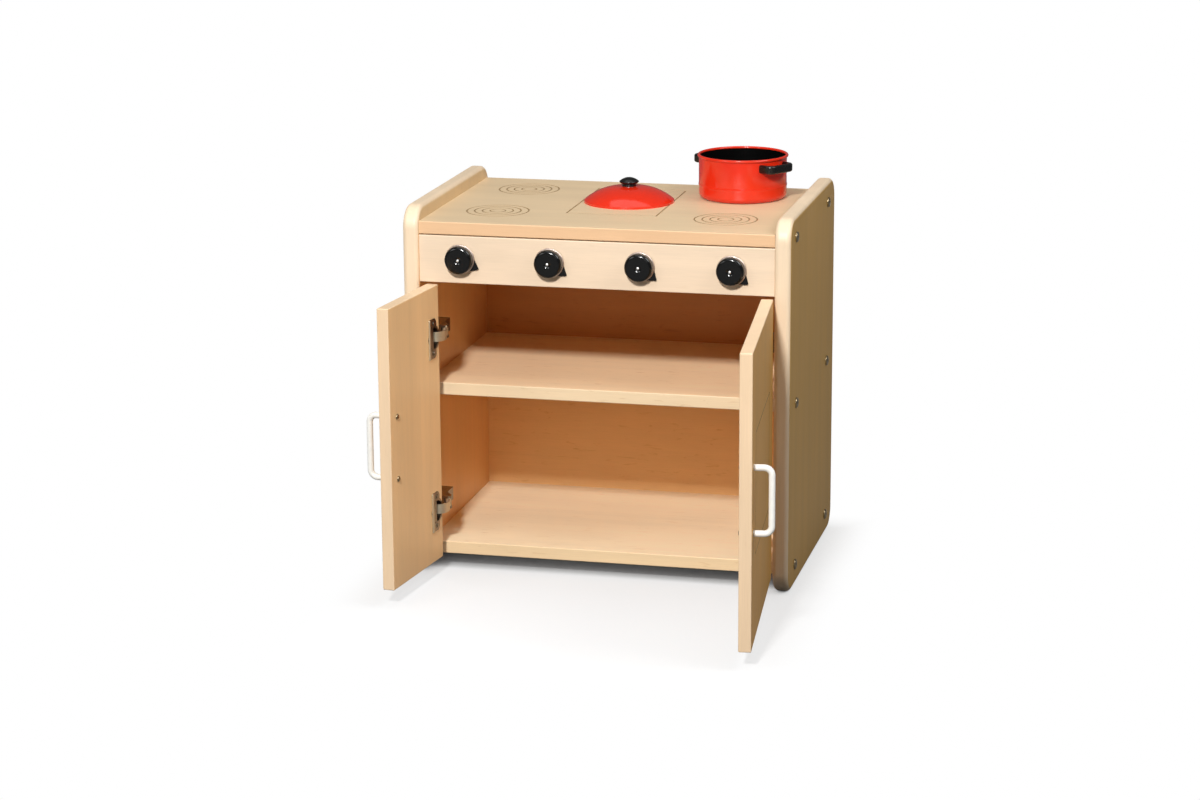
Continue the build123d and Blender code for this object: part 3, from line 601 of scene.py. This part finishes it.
def pot_shape(piece):
    """Presses the bead round the pot's wall and enamels its inside black."""
    radius = (pot_high.x - pot_low.x) / 2 - POT_ROLL / 2
    for offset, _ in POT_BEAD:
        edit_corners(piece, lambda place: True)
        bpy.ops.mesh.bisect(plane_co=(0, 0, pot_low.z + POT_BEAD_HEIGHT + offset), plane_no=(0, 0, 1))
        bpy.ops.object.mode_set(mode="OBJECT")
    for offset, proud in POT_BEAD:
        def on_wall(place):
            out = Vector((place.x - pot_axis.x, place.y - pot_axis.y)).length
            at_cut = abs(place.z - pot_low.z - POT_BEAD_HEIGHT - offset) < CUT_MATCH
            return at_cut and out > radius - WALL_MATCH

        edit_corners(piece, on_wall)
        ratio = 1 + proud / radius
        bpy.ops.transform.resize(value=(ratio, ratio, 1), center_override=pot_axis)
        bpy.ops.object.mode_set(mode="OBJECT")
    give_material(piece, black_enamel, inside_pot)


refine("pot_body", red_enamel, pot_shape)
refine("pot_front_handle", grip_black)
refine("pot_rear_handle", grip_black)
refine("lid_cover", red_enamel)
refine("lid_knob", grip_black)
refine("lid_screw", plain_steel)


# ---------------------------------------------------------------- stage
MIRRORED_STUDIO = 0.12           # share of the studio's white in a gloss, as the room beside it is dim


def sees_studio(tree):
    """What each ray sees of the white studio: all for camera and transmission rays, a share for glossy ones
    and nothing for others."""
    rays = add(tree, "ShaderNodeLightPath").outputs
    mirrored = add(tree, "ShaderNodeMath", {0: rays["Is Glossy Ray"], 1: MIRRORED_STUDIO},
                   operation="MULTIPLY")
    seen = add(tree, "ShaderNodeMath", {0: rays["Is Camera Ray"], 1: mirrored.outputs["Value"]},
               operation="MAXIMUM")
    return add(tree, "ShaderNodeMath", {0: seen.outputs["Value"], 1: rays["Is Transmission Ray"]},
               operation="MAXIMUM").outputs["Value"]


WHITE = [1.0] * 4
FLOOR_SIZE = 30.0
FLOOR_GLOW = 0.74                # near the object the lamps give the rest of the white, so shadows stay
FLOOR_SEEN = [0.25] * 3 + [1.0]  # the paper's own colour, to the eye
FLOOR_BOUNCE = [0.15] * 3 + [1.0]    # and as a source of light thrown back on the object
CONTACT_REACH = 0.50             # metres over which the object shuts out the sky
CONTACT_DARK = 0.23              # the open share of sky below which the floor falls to black
CONTACT_PALE = 0.76              # the share of the glow that is left where that fall starts
SHADOW_CENTRE = (0, -0.2, 0)     # in front of the cupboard, between the doors
SHADOW_SPREAD = (0.39, 0.46, 1)  # metres from there, across and towards the cook, to plain white paper
SHADOW_FADE = 0.78               # the share of that spread at which the shadow starts to go

deselect()
bpy.ops.mesh.primitive_plane_add(size=FLOOR_SIZE)
floor = bpy.context.object
floor.name = "studio_floor"
floor_material, tree = new_material("studio_paper")
bounce = add(tree, "ShaderNodeBsdfDiffuse", {"Color": FLOOR_BOUNCE})
seen = add(tree, "ShaderNodeBsdfDiffuse", {"Color": FLOOR_SEEN})

# Painted contact shadow: the glow dims with the ambient occlusion where the object stands over or beside the
# paper.
open_sky = add(tree, "ShaderNodeAmbientOcclusion", {"Distance": CONTACT_REACH}, samples=16)
under = add(tree, "ShaderNodeMapRange", {"Value": open_sky.outputs["AO"], "From Max": CONTACT_DARK})
beside = add(tree, "ShaderNodeMapRange", {
    "Value": open_sky.outputs["AO"], "To Min": CONTACT_PALE * FLOOR_GLOW, "To Max": FLOOR_GLOW})
glow_with_painted_shadow = add(tree, "ShaderNodeMath", {0: under.outputs["Result"], 1: beside.outputs["Result"]},
                 operation="MULTIPLY")
glow = add(tree, "ShaderNodeEmission", {"Color": WHITE, "Strength": glow_with_painted_shadow.outputs["Value"]})
near = add(tree, "ShaderNodeAddShader", {0: seen.outputs["BSDF"], 1: glow.outputs["Emission"]})

# Past the shadow's spread the paper is plain white.
far = add(tree, "ShaderNodeEmission", {"Color": WHITE, "Strength": 1.0})
away = add(tree, "ShaderNodeVectorMath", {0: add(tree, "ShaderNodeTexCoord").outputs["Object"],
                                          1: SHADOW_CENTRE}, operation="SUBTRACT")
share = add(tree, "ShaderNodeVectorMath", {0: away.outputs["Vector"], 1: SHADOW_SPREAD}, operation="DIVIDE")
share = add(tree, "ShaderNodeVectorMath", {0: share.outputs["Vector"]}, operation="ABSOLUTE")
ways = add(tree, "ShaderNodeSeparateXYZ", {0: share.outputs["Vector"]}).outputs
furthest = add(tree, "ShaderNodeMath", {0: ways["X"], 1: ways["Y"]}, operation="MAXIMUM")
plain = add(tree, "ShaderNodeMapRange", {
    "Value": furthest.outputs["Value"], "From Min": SHADOW_FADE}, interpolation_type="SMOOTHSTEP")
white = add(tree, "ShaderNodeMixShader", {0: plain.outputs["Result"], 1: near.outputs["Shader"],
                                          2: far.outputs["Emission"]})
paper = add(tree, "ShaderNodeMixShader", {0: sees_studio(tree), 1: bounce.outputs["BSDF"],
                                          2: white.outputs["Shader"]})
add(tree, "ShaderNodeOutputMaterial", {"Surface": paper.outputs["Shader"]})
floor.data.materials.append(floor_material)

AMBIENT = 0.04                   # light from all round, in which the lamps' shadows don't go black
world = bpy.data.worlds.new("studio")
bpy.context.scene.world = world
world.use_nodes = True
tree = world.node_tree
tree.nodes.clear()
strength = add(tree, "ShaderNodeMapRange", {"Value": sees_studio(tree), "To Min": AMBIENT})
sky = add(tree, "ShaderNodeBackground", {"Color": WHITE, "Strength": strength.outputs["Result"]})
add(tree, "ShaderNodeOutputWorld", {"Surface": sky.outputs["Background"]})

# ---------------------------------------------------------------- lamps and camera
LIGHT_TARGET = Vector((0, -0.2, 0.3))
# Square softboxes. Heading is degrees to the cook's right of straight in front, height is degrees above
# level, distance and size are metres. Level is the brightness that the lamp alone gives a white card turned
# to it at the target. The last two light the back and the left side, and leave no shine on the hob.
LAMPS = (                # heading, height, distance, size, level, mirrored in gloss
    ("key",                    1.5,  34.5,      5.0, 0.45,  1.03, True),
    ("right_fill",              15,    16,      4.5,  0.7,  0.02, True),
    ("left_fill",              -40,    30,      4.0,  1.0,  0.12, True),
    ("right_side",              76,    46,      2.3,  1.0,  0.36, True),
    ("overhead",                 0,    88,      2.6,  2.2,  0.25, True),
    ("back_fill",              175,     5,      4.0,  0.6,  0.35, False),
    ("left_back",             -112,     8,      4.0,  0.6,  0.30, False),
)

for name, heading, height, distance, size, level, mirrored in LAMPS:
    turn, rise = radians(heading), radians(height)
    direction = Vector((sin(turn) * cos(rise), -cos(turn) * cos(rise), sin(rise)))
    softbox = bpy.data.lights.new(name, "AREA")
    softbox.shape = "SQUARE"
    softbox.size = size
    softbox.energy = level * (pi * distance) ** 2
    lamp = bpy.data.objects.new(name, softbox)
    bpy.context.scene.collection.objects.link(lamp)
    lamp.location = LIGHT_TARGET + direction * distance
    lamp.rotation_euler = direction.to_track_quat("Z", "Y").to_euler()
    lamp.visible_glossy = mirrored

CAMERA_PLACE = Vector((1.0622, -4.6069, 1.4308))
CAMERA_HEADING = radians(13.463)     # turned to the left of straight ahead
CAMERA_TILT = radians(14.103)        # downwards
CAMERA_ROLL = radians(-0.3507)
CAMERA_LENS = 92.14                  # mm
CAMERA_SENSOR = 36.0                 # mm wide
camera_data = bpy.data.cameras.new("camera")
camera_data.lens = CAMERA_LENS
camera_data.sensor_width = CAMERA_SENSOR
camera = bpy.data.objects.new("camera", camera_data)
bpy.context.scene.collection.objects.link(camera)
aim = Euler((pi / 2 - CAMERA_TILT, 0, CAMERA_HEADING)).to_matrix() @ Matrix.Rotation(CAMERA_ROLL, 3, "Z")
camera.location = CAMERA_PLACE
camera.rotation_euler = aim.to_euler()
bpy.context.scene.camera = camera
bpy.context.scene.view_settings.view_transform = "Standard"
